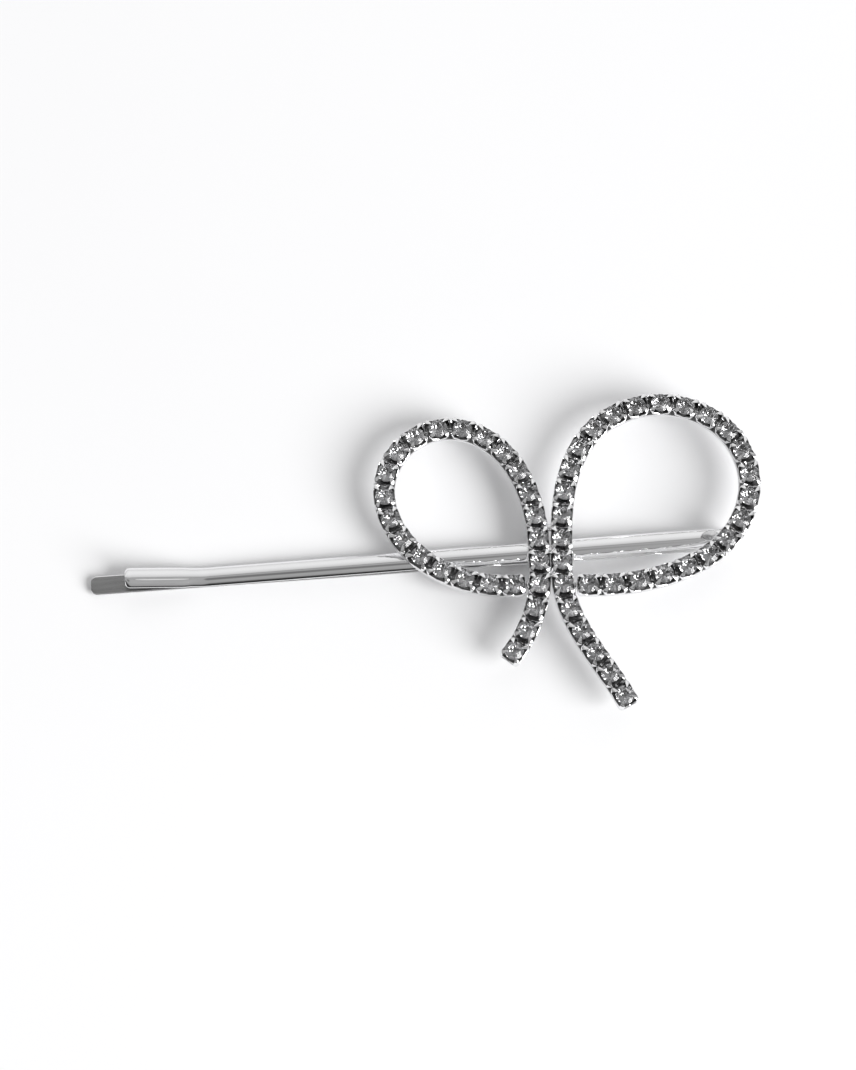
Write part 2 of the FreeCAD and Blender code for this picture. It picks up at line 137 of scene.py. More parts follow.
joint = frame["joints"][0]
BEND_CENTRE = Vector((joint["pos_m"][0], joint["pos_m"][2])) / MM
# how much the upper leg falls from the closed end to where the legs grip, in degrees
LEG_FALL = math.degrees(math.atan((2 * BEND_INNER - LEG_GAP) / BEND_CENTRE.x))


# ---- Meshes ----

def new_object(name, vertices, faces, materials, groups=None, crease=OTHER_CREASE):
    """A mesh object from millimetre vertices; groups gives each face's material number."""
    mesh = bpy.data.meshes.new(name)
    mesh.from_pydata([Vector(v) * MM for v in vertices], [], faces)
    for material in materials:
        mesh.materials.append(material)
    if groups:
        mesh.polygons.foreach_set("material_index", groups)
    shape = bmesh.new()
    shape.from_mesh(mesh)
    bmesh.ops.recalc_face_normals(shape, faces=shape.faces)
    for edge in shape.edges:
        edge.smooth = edge.calc_face_angle(math.pi) < math.radians(crease)
    for face in shape.faces:
        face.smooth = True
    shape.to_mesh(mesh)
    shape.free()
    piece = bpy.data.objects.new(name, mesh)
    bpy.context.scene.collection.objects.link(piece)
    return piece


def ring_faces(first, second, count):
    """Quads between two rings of vertices, given by their first numbers."""
    return [
        (first + i, first + (i + 1) % count, second + (i + 1) % count, second + i)
        for i in range(count)
    ]


def placement(forward, sideways, out, spot):
    """A matrix from its three directions and its place."""
    columns = [Vector(column) for column in (forward, sideways, out, spot)]
    return Matrix([[column[row] for column in columns] for row in range(3)] + [[0, 0, 0, 1]])


# ---- Materials ----

NOISE_LOW, NOISE_HIGH = 0.3, 0.7    # a noise seldom leaves this range


def node(tree, kind, inputs=None, **settings):
    """A new node. inputs gives values or links by socket, and settings its own properties."""
    made = tree.nodes.new(kind)
    for key, value in settings.items():
        setattr(made, key, value)
    for key, value in (inputs or {}).items():
        if isinstance(value, bpy.types.NodeSocket):
            tree.links.new(value, made.inputs[key])
        else:
            made.inputs[key].default_value = value
    return made


def new_material(name):
    """A material, its node tree, its surface shader and the object's own coordinates."""
    material = bpy.data.materials.new(name)
    material.use_nodes = True
    shader = material.node_tree.nodes["Principled BSDF"]
    place = node(material.node_tree, "ShaderNodeTexCoord").outputs["Object"]
    return material, material.node_tree, shader, place


def spread(tree, fac, low, high):
    """Maps a noise, which stays near its middle, onto low to high."""
    return node(
        tree, "ShaderNodeMapRange",
        {"Value": fac, "From Min": NOISE_LOW, "From Max": NOISE_HIGH, "To Min": low, "To Max": high},
    ).outputs["Result"]


def noise(tree, place, scale, detail=3.0, stretch=(1, 1, 1)):
    """Noise whose scale is in features per millimetre."""
    mapped = node(
        tree, "ShaderNodeMapping",
        {"Vector": place, "Scale": [scale * s / MM for s in stretch]},
    ).outputs["Vector"]
    made = node(tree, "ShaderNodeTexNoise", {"Vector": mapped, "Scale": 1.0, "Detail": detail})
    return made.outputs["Fac"]


def grey_ramp(tree, fac, dark, light):
    """Turns a noise into a range between two near-neutral metal colours."""
    made = node(tree, "ShaderNodeValToRGB", {"Fac": fac})
    made.color_ramp.elements[0].position = NOISE_LOW
    made.color_ramp.elements[1].position = NOISE_HIGH
    made.color_ramp.elements[0].color = (dark, dark, dark * 1.01, 1)
    made.color_ramp.elements[1].color = (light, light, light * 1.005, 1)
    return made.outputs["Color"]


def metal(name, tone, rough, grain, bump, stretch=(1, 1, 1)):
    """Plated metal: cloudy in tone, fine-grained in gloss, and slightly uneven.

    tone and rough are ranges. grain is in features per millimetre and bump is a height in millimetres.
    """
    material, tree, shader, place = new_material(name)
    clouds = noise(tree, place, grain * 0.2, detail=4.0, stretch=stretch)
    fine = noise(tree, place, grain, detail=5.0, stretch=stretch)
    waves = noise(tree, place, grain * 0.5, detail=3.0, stretch=stretch)
    shader.inputs["Metallic"].default_value = 1.0
    tree.links.new(grey_ramp(tree, clouds, *tone), shader.inputs["Base Color"])
    tree.links.new(spread(tree, fine, *rough), shader.inputs["Roughness"])
    raised = node(tree, "ShaderNodeBump", {"Height": waves, "Distance": bump * MM, "Strength": 0.6})
    tree.links.new(raised.outputs["Normal"], shader.inputs["Normal"])
    return material


def inner_face_metal():
    """The strip's flat inner face: dark and mirroring towards the open tip as painted shade, pale and dull
    beyond as painted light.
    """
    material, tree, shader, place = new_material("strip_inner_face")
    streaks = noise(tree, place, 2.0, detail=4.0, stretch=(0.08, 1, 1))
    along = node(tree, "ShaderNodeSeparateXYZ", {"Vector": place}).outputs["X"]
    place_range = {"From Min": PAINTED_SHADE_END * MM, "From Max": PAINTED_LIGHT_START * MM}
    fade = node(
        tree, "ShaderNodeMapRange", {"Value": along, **place_range, "To Min": 0.0, "To Max": PAINTED_LIGHT_AND_DULLNESS}
    ).outputs["Result"]
    # the tone is painted shade towards the open tip and painted light further along
    tone = node(tree, "ShaderNodeMath", {0: fade, 1: spread(tree, streaks, 0.20, 0.30)}, operation="ADD")
    grey = {channel: tone.outputs[0] for channel in ("Red", "Green", "Blue")}
    colour = node(tree, "ShaderNodeCombineColor", grey)
    mirror = node(tree, "ShaderNodeMath", {0: 1.0, 1: fade}, operation="SUBTRACT")
    tree.links.new(mirror.outputs[0], shader.inputs["Metallic"])
    tree.links.new(colour.outputs["Color"], shader.inputs["Base Color"])
    tree.links.new(spread(tree, streaks, 0.22, 0.34), shader.inputs["Roughness"])
    return material


def crystal_glass():
    """The clear glass of a stone, faintly hazy."""
    material, tree, shader, place = new_material("crystal_glass")
    shader.inputs["Transmission Weight"].default_value = 1.0
    shader.inputs["IOR"].default_value = 1.56
    haze = noise(tree, place, 1.5)
    tree.links.new(grey_ramp(tree, haze, 0.82, 0.96), shader.inputs["Base Color"])
    tree.links.new(spread(tree, haze, 0.0, 0.03), shader.inputs["Roughness"])
    return material


def crystal_foil():
    """The mirrored back of a stone, seen through its glass."""
    material, tree, shader, place = new_material("crystal_foil")
    patches = noise(tree, place, 1.2, detail=4.0)
    shader.inputs["Metallic"].default_value = 1.0
    tree.links.new(grey_ramp(tree, patches, 0.55, 0.95), shader.inputs["Base Color"])
    tree.links.new(spread(tree, patches, 0.03, 0.12), shader.inputs["Roughness"])
    return material


def floor_surface():
    """A pale matt sheet."""
    material, tree, shader, place = new_material("pale_floor")
    tone = noise(tree, place, 0.01, detail=2.0)
    tree.links.new(grey_ramp(tree, tone, 0.88, 0.90), shader.inputs["Base Color"])
    shader.inputs["Roughness"].default_value = 0.9
    shader.inputs["Specular IOR Level"].default_value = 0.1
    return material


STRIP_METAL = metal(
    "strip_plate", tone=(0.82, 0.90), rough=(0.05, 0.14), grain=1.2, bump=0.012, stretch=(0.12, 1, 1)
)
INNER_METAL = inner_face_metal()
CUP_METAL = metal("cup_plate", tone=(0.84, 0.95), rough=(0.05, 0.16), grain=2.2, bump=0.03)
# painted shade: a dark metal that stands in for the shade inside the cups' recesses and on the ribbon's top
# between cups
PAINTED_RECESS_SHADE = metal("painted_recess_shade", tone=(0.09, 0.22), rough=(0.20, 0.40), grain=2.2, bump=0.03)
LINK_METAL = metal("link_plate", tone=(0.80, 0.92), rough=(0.10, 0.24), grain=2.0, bump=0.02)
SOLDER_METAL = metal("solder_plate", tone=(0.62, 0.80), rough=(0.16, 0.32), grain=3.0, bump=0.05)
GLASS = crystal_glass()
FOIL = crystal_foil()


# ---- The pin ----

def strip_outline():
    """The strip's section, as points across it and above its flat face: an arched back on low sides."""
    side, edge = STRIP_HALF, STRIP_EDGE
    rise = STRIP_THICK - CROWN_START
    radius = (side ** 2 + rise ** 2) / (2 * rise)
    reach = math.asin(side / radius)
    edge_steps = 5
    turns = [math.pi / 2 * i / edge_steps for i in range(edge_steps + 1)]
    corner = [(side - edge + edge * math.sin(turn), edge - edge * math.cos(turn)) for turn in turns]
    angles = [reach - 2 * reach * i / CROWN_STEPS for i in range(CROWN_STEPS + 1)]
    crown = [(radius * math.sin(angle), STRIP_THICK - radius * (1 - math.cos(angle))) for angle in angles]
    return [(-side / 3, 0.0), (side / 3, 0.0)] + corner + crown + [(-x, z) for x, z in reversed(corner)]


def swept_strip(name, stations, materials):
    """Sweeps the strip's section along stations.

    A station is a point on the flat face, the outward direction, the section's width and thickness there
    as parts of the full ones, and how deep its groove is.
    """
    outline = strip_outline()
    count = len(outline)
    vertices, faces, groups = [], [], []
    for at, out, width, thick, groove in stations:
        for across, above in outline:
            dip = 0.0
            if above > CROWN_START:
                dip = groove * math.exp(-((across - GROOVE_PLACE) / GROOVE_HALF) ** 2)
            rise = out * (above * thick - dip)
            vertices.append((at[0] + rise[0], across * width, at[1] + rise[1]))
    flat_quads = (0, 1, count - 1)      # the section's three that lie on the flat face
    for row in range(len(stations) - 1):
        faces += ring_faces(row * count, (row + 1) * count, count)
        groups += [1 if i in flat_quads else 0 for i in range(count)]
    faces.append(tuple(range(count)))
    faces.append(tuple(range(len(vertices) - count, len(vertices))))
    groups += [0, 0]
    return new_object(name, vertices, faces, materials, groups)


def tip_taper(distance):
    """Width and thickness of the strip at this distance from its open tip."""
    if distance >= TIP_CORNER:
        return 1.0, 1.0
    inside = TIP_CORNER - distance
    half = STRIP_HALF - TIP_CORNER + math.sqrt(TIP_CORNER ** 2 - inside ** 2)
    return half / STRIP_HALF, 1.0 - TIP_LOSS * (inside / TIP_CORNER) ** 2


def tip_distances():
    """Distances from an open tip that follow its rounded corners."""
    steps = 9
    return [TIP_CORNER * (1 - math.cos(math.pi / 2 * i / steps)) for i in range(steps + 1)]


def crimp_height(x):
    """How far the lower leg is raised by its crimps at x."""
    for i in range(CRIMPS):
        away = abs(x - CRIMP_FIRST - i * CRIMP_STEP)
        if away < CRIMP_HALF:
            return CRIMP_RISE * (1 + math.cos(math.pi * away / CRIMP_HALF)) / 2
    return 0.0


def lower_leg_stations():
    """Along the lower leg, from its open tip to the closed end."""
    tip = [LOWER_TIP + d for d in tip_distances()]
    start, length = tip[-1], BEND_CENTRE.x - tip[-1]
    step = 0.25
    count = int(length / step)
    straight = [start + length * i / count for i in range(1, count + 1)]
    nudge = 0.01
    stations = []
    for x in tip + straight:
        slope = (crimp_height(x + nudge) - crimp_height(x - nudge)) / (2 * nudge)
        out = Vector((slope, -1.0)).normalized()
        width, thick = tip_taper(x - LOWER_TIP)
        stations.append((Vector((x, STRIP_THICK + crimp_height(x))), out, width, thick, 0.0))
    return stations


def upper_leg_stations(place, length):
    """Along the upper leg, from its flared tip to the closed end.

    place turns the leg's own distances along and above into the pin's x and z.
    """
    total = FLARE_RISE + LEG_FALL
    bend_end = math.radians(total)
    corner = Vector((-FLARE_BEND * math.sin(bend_end), FLARE_BEND * (1 - math.cos(bend_end))))
    away = Vector((-math.cos(bend_end), math.sin(bend_end)))
    lift = Vector((math.sin(bend_end), math.cos(bend_end)))
    stations = []
    for distance in (*tip_distances(), *FLARE_SECTIONS):
        width, thick = tip_taper(distance)
        pressed = math.sin(math.pi / 2 * min(max(FLARE_FOLD - distance, 0.0), 1.0)) ** 2
        width *= 1 + (FLARE_WIDE - 1) * pressed
        from_end = min(distance - TIP_CORNER, FLARE_FOLD - distance)
        groove = GROOVE_DEPTH * math.sin(math.pi / 2 * min(max(from_end / GROOVE_FADE, 0.0), 1.0))
        stations.append((corner + away * (FLARE_RUN - distance), lift, width, thick, groove))
    steps = 12
    for i in range(steps + 1):
        angle = bend_end * (1 - i / steps)
        at = Vector((-FLARE_BEND * math.sin(angle), FLARE_BEND * (1 - math.cos(angle))))
        stations.append((at, Vector((math.sin(angle), math.cos(angle))), 1.0, 1.0, 0.0))
    count = 60
    level = Vector((0.0, 1.0))
    stations += [(Vector((length * i / count, 0.0)), level, 1.0, 1.0, 0.0) for i in range(1, count + 1)]
    return [(place(at), place(out) - place(Vector((0, 0))), *section) for at, out, *section in stations]


def closed_end_stations(centre):
    """Round the closed end, from the lower leg to the upper one."""
    first, last = math.radians(-90), math.radians(90 + LEG_FALL)
    steps = 40
    hold = 0.004                # a short first and last step keep the shading level with the legs
    parts = [0.0, hold] + [i / steps for i in range(1, steps)] + [1 - hold, 1.0]
    stations = []
    for part in parts:
        angle = first + (last - first) * part
        out = Vector((math.cos(angle), math.sin(angle)))
        stations.append((centre + out * BEND_INNER, out, 1.0, 1.0, 0.0))
    return stations


def make_pin():
    """The lower leg, the upper leg and the closed end between them."""
    fall = math.radians(LEG_FALL)
    along, above = Vector((math.cos(fall), math.sin(fall))), Vector((-math.sin(fall), math.cos(fall)))
    top = BEND_CENTRE + above * BEND_INNER
    length = top.x / math.cos(fall)
    origin = top - along * length

    def place(spot):
        return origin + along * spot.x + above * spot.y

    finish = [STRIP_METAL, INNER_METAL]
    lower = swept_strip("lower_strip", lower_leg_stations(), finish)
    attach(lower, LOWER)
    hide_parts("lower_leg")
    upper = swept_strip("upper_strip", upper_leg_stations(place, length), [STRIP_METAL, STRIP_METAL])
    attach(upper, UPPER)
    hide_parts("upper_leg")
    closed = swept_strip("closed_end", closed_end_stations(BEND_CENTRE), [STRIP_METAL, STRIP_METAL])
    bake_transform(closed)
    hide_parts("spring_bend")


# ---- Where the cups are ----

def loose_parts(name):
    """The separate solids of a CAD node, each as an array of its points in millimetres."""
    shape = bmesh.new()
    shape.from_mesh(frame["nodes"][name].data)
    bmesh.ops.remove_doubles(shape, verts=shape.verts, dist=MM / 1000)
    shape.verts.ensure_lookup_table()
    unseen = set(range(len(shape.verts)))
    parts = []
    while unseen:
        waiting = [unseen.pop()]
        found = []
        while waiting:
            number = waiting.pop()
            found.append(number)
            for edge in shape.verts[number].link_edges:
                other = edge.other_vert(shape.verts[number]).index
                if other in unseen:
                    unseen.remove(other)
                    waiting.append(other)
        parts.append(np.array([shape.verts[i].co for i in sorted(found)]) / MM)
    shape.free()
    return parts


def walk(parts, start):
    """Orders parts from the one nearest to start, each followed by the nearest that is left."""
    left, order, here = list(parts), [], start
    while left:
        left.sort(key=lambda part: np.linalg.norm(part.mean(0) - here))
        order.append(left.pop(0))
        here = order[-1].mean(0)
    return order


def ordered_cups(side):
    """One chain's cups as point arrays, from the end of its tail to the end of its loop."""
    parts = {stretch: loose_parts(f"{side}_{stretch}_cups") for stretch in STRETCHES}
    knot_middle = np.vstack(parts["knot"]).mean(0)
    far = max(parts["tail"], key=lambda part: np.linalg.norm(part.mean(0) - knot_middle))
    order = []
    start = far.mean(0)
    for stretch in STRETCHES:
        row = walk(parts[stretch], start)
        order += [(stretch, part) for part in row]
        start = row[-1].mean(0)
    return order


def bow_axes(chains):
    """The bow's plane: directions along the pin, across it and away from it."""
    centres = np.array([part.mean(0) for cups in chains.values() for _, part in cups])
    out = np.linalg.svd(centres - centres.mean(0))[2][2]
    out *= math.copysign(1, out[2])
    along = np.array((1.0, 0.0, 0.0))
    along -= out * (along @ out)
    along /= np.linalg.norm(along)
    return np.array((along, np.cross(out, along), out))


def cup_place(points, axes, ahead):
    """A cup's placement from its prongs, which stand on its diagonals. ahead points down the chain."""
    top_slice = 0.05
    flat = points @ axes.T
    prong_tops = flat[flat[:, 2] > flat[:, 2].max() - top_slice]
    spokes = prong_tops[:, :2] - flat[:, :2].mean(0)
    angle = np.angle(np.mean(np.exp(4j * np.arctan2(spokes[:, 1], spokes[:, 0])))) - math.pi
    heading = angle / 4
    ahead = axes @ ahead
    wanted = math.atan2(ahead[1], ahead[0])
    heading += math.pi / 2 * round((wanted - heading) / (math.pi / 2))
    turn = np.array(((math.cos(heading), math.sin(heading)), (-math.sin(heading), math.cos(heading))))
    turned = flat[:, :2] @ turn.T
    middle = (turned.max(0) + turned.min(0)) / 2 @ turn
    spot = np.array((middle[0], middle[1], flat[:, 2].min())) @ axes
    forward = np.array((math.cos(heading), math.sin(heading), 0)) @ axes
    sideways = np.cross(axes[2], forward)
    return placement(forward, sideways, axes[2], spot)


def seats():
    """Every cup's placement, as lists by side of (stretch, matrix)."""
    chains = {side: ordered_cups(side) for side in SIDES}
    axes = bow_axes(chains)
    found = {}
    for side, cups in chains.items():
        middles = [part.mean(0) for _, part in cups]
        found[side] = []
        for i, (stretch, part) in enumerate(cups):
            ahead = middles[min(i + 1, len(middles) - 1)] - middles[max(i - 1, 0)]
            found[side].append((stretch, cup_place(part, axes, ahead)))
    return found


# ---- Cups, stones and links ----

def square_outline():
    """A rounded square.

    Each entry is a point, its outward direction, its distance along the outline from the middle of the
    nearest corner, and the direction of that corner.
    """
    flat = CUP_HALF - CUP_CORNER
    arc_steps, side_steps = 12, 8
    points = []
    for quarter in range(4):
        turn = Matrix.Rotation(math.pi / 2 * quarter, 2)
        corner = turn @ Vector((1, 1)).normalized()
        for i in range(arc_steps + 1):
            angle = math.pi / 2 * i / arc_steps
            out = Vector((math.cos(angle), math.sin(angle)))
            centre = Vector((flat, flat))
            away = abs(angle - math.pi / 4) * CUP_CORNER
            points.append((turn @ (centre + out * CUP_CORNER), turn @ out, away, corner))
        for i in range(1, side_steps):
            slide = flat - 2 * flat * i / side_steps
            away = math.pi / 4 * CUP_CORNER + flat - abs(slide)
            points.append((turn @ Vector((slide, CUP_HALF)), turn @ Vector((0, 1)), away, corner))
    return points


def wall_path(length, lean):
    """How far in, how high and how far from upright a wall is at this length up it."""
    if length <= PRONG_KNEE:
        return 0.0, length, 0.0
    over = length - PRONG_KNEE
    angle = min(over / PRONG_BEND, lean)
    inward = PRONG_BEND * (1 - math.cos(angle))
    height = PRONG_KNEE + PRONG_BEND * math.sin(angle)
    rest = over - angle * PRONG_BEND
    return inward + rest * math.sin(angle), height + rest * math.cos(angle), angle


def cup_shell(ahead, behind):
    """One cup in its own frame: a scooped wall with a bent prong at each corner.

    ahead and behind say how far the cup reaches along the chain at its middle, and how much less per
    millimetre across. Returns vertices, faces and each face's material number: 0 outside, 1 in the recess,
    which is painted dark as shade.
    """
    outline = square_outline()
    count = len(outline)
    corner_to_middle = math.pi / 4 * CUP_CORNER + CUP_HALF - CUP_CORNER
    leans = [math.radians(PRONG_LEAN + chance.uniform(-LEAN_VARIES, LEAN_VARIES)) for _ in range(4)]
    lengths = [PRONG_LENGTH + chance.uniform(LENGTH_LESS, LENGTH_MORE) for _ in range(4)]
    climbs = []
    for i, (_, _, away, _) in enumerate(outline):
        corner = i * 4 // count
        scoop = SIDE_LOW + (SIDE_HIGH - SIDE_LOW) * (1 - away / corner_to_middle) ** SIDE_CURVE
        if away < PRONG_SPREAD:
            tab = (1 - away / PRONG_SPREAD) ** PRONG_CURVE
            scoop += (lengths[corner] - scoop) * tab
        climbs.append((scoop, leans[corner]))

    def ring(inset_of):
        made = []
        for i, (spot, out, _, corner) in enumerate(outline):
            inset, inward, height = inset_of(i)
            flat = spot - out * inset - corner * inward
            made.append((flat.x, flat.y, height))
        return made

    def wall_row(part, depth):
        def inset_of(i):
            top, lean = climbs[i]
            start = CUP_FOOT if depth == 0 else CUP_FLOOR
            inward, height, angle = wall_path(start + (top - start) * part, lean)
            return depth * math.cos(angle), inward, height - depth * math.sin(angle)
        return inset_of

    def lip(i):
        top, lean = climbs[i]
        inward, height, angle = wall_path(top + LIP_RISE, lean)
        return CUP_SHEET / 2 * math.cos(angle), inward, height - CUP_SHEET / 2 * math.sin(angle)

    outside = [ring(lambda i: (UNDERSIDE_INSET, 0.0, 0.0)), ring(lambda i: (CUP_FOOT, 0.0, 0.0))]
    outside += [ring(wall_row(i / WALL_ROWS, 0)) for i in range(WALL_ROWS)]
    outside += [ring(wall_row(LIP_START, 0)), ring(lip)]
    recess = [ring(wall_row(LIP_START, CUP_SHEET))]
    recess += [ring(wall_row(i / WALL_ROWS, CUP_SHEET)) for i in reversed(range(WALL_ROWS))]
    recess += [ring(lambda i: (FLOOR_INSET, 0.0, CUP_FLOOR))]
    rings = outside + recess
    vertices = [(0, 0, 0)] + [spot for made in rings for spot in made] + [(0, 0, CUP_FLOOR)]
    for number, (x, y, z) in enumerate(vertices):
        reach, slope = ahead if x > 0 else behind
        vertices[number] = (x * (reach - y * slope) / CUP_HALF, y, z)
    faces, groups = [], []
    for row in range(len(rings) - 1):
        faces += ring_faces(1 + row * count, 1 + (row + 1) * count, count)
        groups += [1 if row >= len(outside) else 0] * count
    last = len(vertices) - 1
    top_ring = 1 + (len(rings) - 1) * count
    for i in range(count):
        faces.append((0, 1 + (i + 1) % count, 1 + i))
        faces.append((last, top_ring + i, top_ring + (i + 1) % count))
        groups += [0, 1]
    return vertices, faces, groups


def stone_ring(radius, height, count, offset=0.0):
    """Points round a stone, turned by offset of a step."""
    angles = [math.tau * (i + offset) / count for i in range(count)]
    return [(radius * math.cos(angle), radius * math.sin(angle), height) for angle in angles]


def stone_shell():
    """A cut stone: flat top, crown of 32 facets, thin girdle and pointed back.

    Returns vertices, faces and each face's material number: 0 for glass and 1 for the mirrored back.
    """
    round_girdle = 2 * CUTS
    vertices = stone_ring(TABLE_RADIUS, TABLE_HEIGHT, CUTS)
    vertices += stone_ring(CROWN_MID_RADIUS, CROWN_MID_HEIGHT, CUTS, 0.5)
    vertices += stone_ring(GIRDLE_RADIUS, GIRDLE_HIGH, round_girdle)
    vertices += stone_ring(GIRDLE_RADIUS, GIRDLE_LOW, round_girdle)
    vertices += stone_ring(BACK_MID_RADIUS, BACK_MID_HEIGHT, CUTS, 0.5) + [(0, 0, POINT_HEIGHT)]
    table, mid, girdle, under, back, point = (CUTS * k for k in (0, 1, 2, 4, 6, 7))
    glass = [tuple(range(CUTS))]
    foil = []
    for i in range(CUTS):
        ahead = (i + 1) % CUTS
        behind = (i - 1) % CUTS
        here, between, beyond = 2 * i, 2 * i + 1, (2 * i + 2) % round_girdle
        glass.append((table + i, mid + i, table + ahead))
        glass.append((table + i, mid + behind, girdle + here, mid + i))
        glass.append((mid + i, girdle + here, girdle + between))
        glass.append((mid + i, girdle + between, girdle + beyond))
        foil.append((point, back + i, under + here, back + behind))
        foil.append((back + i, under + between, under + here))
        foil.append((back + i, under + beyond, under + between))
    glass += ring_faces(girdle, under, round_girdle)
    return vertices, glass + foil, [0] * len(glass) + [1] * len(foil)


def ribbon_outline():
    """The base ribbon's section, as points across it and above the cups' undersides."""
    side, edge, bulge = RIBBON_HALF, RIBBON_EDGE, RIBBON_EDGE * RIBBON_BULGE
    right = [(side - edge, RIBBON_LOW), (side, RIBBON_LOW + edge), (side, RIBBON_HIGH - edge)]
    right += [(side - bulge, RIBBON_HIGH - bulge), (side - edge, RIBBON_HIGH)]
    return right + [(-across, above) for across, above in reversed(right)]


def ribbon_shell(stations):
    """The ribbon that joins the cups' feet, along stations: where it is, and its directions across and out.

    Returns vertices, faces and each face's material number: 0 for its outside and 1 for its top, which is
    painted dark as shade.
    """
    outline = ribbon_outline()
    count = len(outline)
    vertices = [at + side * across + out * above for at, side, out in stations for across, above in outline]
    faces = [tuple(range(count)), tuple(range(len(vertices) - count, len(vertices)))]
    groups = [0, 0]
    top = count // 2 - 1        # the section's quad that lies across its top
    for row in range(len(stations) - 1):
        faces += ring_faces(row * count, (row + 1) * count, count)
        # the quads across the top get material 1, the painted shade
        groups += [1 if i == top else 0 for i in range(count)]
    return vertices, faces, groups


def ribbon_stations(first, second):
    """Stations of a smooth curve from one cup's middle to the next one's."""
    start, end = first.translation, second.translation
    pace = (end - start).length
    leave, arrive = first.to_3x3().col[0] * pace, second.to_3x3().col[0] * pace
    out = first.to_3x3().col[2]
    steps = 8
    stations = []
    for i in range(steps + 1):
        t = i / steps
        at = start * (2 * t ** 3 - 3 * t ** 2 + 1) + end * (3 * t ** 2 - 2 * t ** 3)
        at += leave * (t ** 3 - 2 * t ** 2 + t) + arrive * (t ** 3 - t ** 2)
        forward = (start - end) * (6 * t ** 2 - 6 * t)
        forward += leave * (3 * t ** 2 - 4 * t + 1) + arrive * (3 * t ** 2 - 2 * t)
        stations.append((at, out.cross(forward).normalized(), out))
    return stations


def end_stations(place, sense):
    """Stations from a cup's middle to the chain's end; sense is 1 ahead of the cup and -1 behind it."""
    forward, side, out = place.to_3x3().col
    stations = [(place.translation.copy(), side, out)]
    for turn in (0, 22, 45, 62, 78, 90):
        along = RIBBON_HALF - RIBBON_CORNER * (1 - math.sin(math.radians(turn)))
        half = RIBBON_HALF - RIBBON_CORNER * (1 - math.cos(math.radians(turn)))
        stations.append((place.translation + forward * sense * along, side * (half / RIBBON_HALF), out))
    return stations


class Row:
    """Gathers copies of shells into one piece."""

    def __init__(self):
        self.vertices, self.faces, self.groups = [], [], []

    def add(self, shell, place):
        first = len(self.vertices)
        self.vertices += [place @ Vector(v) for v in shell[0]]
        self.faces += [tuple(first + i for i in face) for face in shell[1]]
        self.groups += shell[2] if len(shell) > 2 else [0] * len(shell[1])

    def make(self, name, materials, nodes, slot, crease):
        piece = new_object(name, self.vertices, self.faces, materials, self.groups, crease)
        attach(piece, UPPER)
        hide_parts(*nodes)
        return piece


def cup_reach(first, second):
    """How far two neighbouring cups reach towards each other, and how much less per millimetre across.

    They nearly meet all along the line halfway between them.
    """
    apart = (second.translation - first.translation).length / 2
    before, after, out = first.to_3x3().col[0], second.to_3x3().col[0], first.to_3x3().col[2]
    turn = math.atan2(out.dot(before.cross(after)), before.dot(after))
    return apart - CUP_APART / 2, math.tan(turn / 2)


def loose_fit():
    """A stone's own turn and slight tilt in its cup."""
    tilt = math.radians(chance.uniform(0, STONE_TILT))
    tilted = Matrix.Rotation(tilt, 4, Vector((chance.uniform(-1, 1), 1, 0)))
    middle = Matrix.Translation((0, 0, GIRDLE_LOW))
    turned = Matrix.Rotation(chance.uniform(0, math.tau), 4, "Z")
    return middle @ tilted @ turned @ middle.inverted()


def make_chain(side, places):
    """One side's cups, stones and base ribbon, a piece of each for every stretch of the chain."""
    stone = stone_shell()
    for stretch in STRETCHES:
        cups, stones, links = Row(), Row(), Row()
        for i, (name, place) in enumerate(places):
            if name != stretch:
                continue
            is_first, is_last = i == 0, i + 1 == len(places)
            ahead = (CUP_HALF, 0.0) if is_last else cup_reach(place, places[i + 1][1])
            behind = (CUP_HALF, 0.0) if is_first else cup_reach(places[i - 1][1], place)
            cups.add(cup_shell(ahead, behind), place)
            stones.add(stone, place @ loose_fit())
            if is_first:
                links.add(ribbon_shell(end_stations(place, -1)), Matrix.Identity(4))
            stations = end_stations(place, 1) if is_last else ribbon_stations(place, places[i + 1][1])
            links.add(ribbon_shell(stations), Matrix.Identity(4))
        start = f"{side}_{stretch}"
        # the second material paints shade into each cup's recess
        cup_metals = [CUP_METAL, PAINTED_RECESS_SHADE]
        cups.make(f"{start}_cup_row", cup_metals, [f"{start}_cups"], "cup_metal", CUP_CREASE)
        stones.make(f"{start}_stone_row", [GLASS, FOIL], [f"{start}_stones"], "crystal", STONE_CREASE)
        # the second material paints shade onto the ribbon's top between the cups
        ribbon_metals = [LINK_METAL, PAINTED_RECESS_SHADE]
        links.make(f"{start}_link_row", ribbon_metals, [f"{start}_links"], "link_metal", RIBBON_CREASE)


# ---- Solder ----

def solder_lump(low, high, lumps):
    """A rounded lump of solder within a box, dented at lumps: their directions, reaches and depths."""
    shape = bmesh.new()
    bmesh.ops.create_icosphere(shape, subdivisions=4, radius=1.0)
    middle, half = (low + high) / 2, (high - low) / 2
    vertices = []
    for vertex in shape.verts:
        spot = vertex.co
        dent = 1.0
        for centre, reach, depth in lumps:
            dent -= depth * math.exp(-((spot - centre).length / reach) ** 2)
        vertices.append([middle[k] + half[k] * spot[k] * dent for k in range(3)])
    shape.verts.index_update()
    faces = [tuple(v.index for v in face.verts) for face in shape.faces]
    shape.free()
    return vertices, faces


def random_lumps():
    """Dents for one lump of solder."""
    return [
        (
            Vector([chance.uniform(-1, 1) for _ in range(3)]).normalized(),
            chance.uniform(*LUMP_REACH),
            chance.uniform(*LUMP_DEPTH),
        )
        for _ in range(LUMPS)
    ]


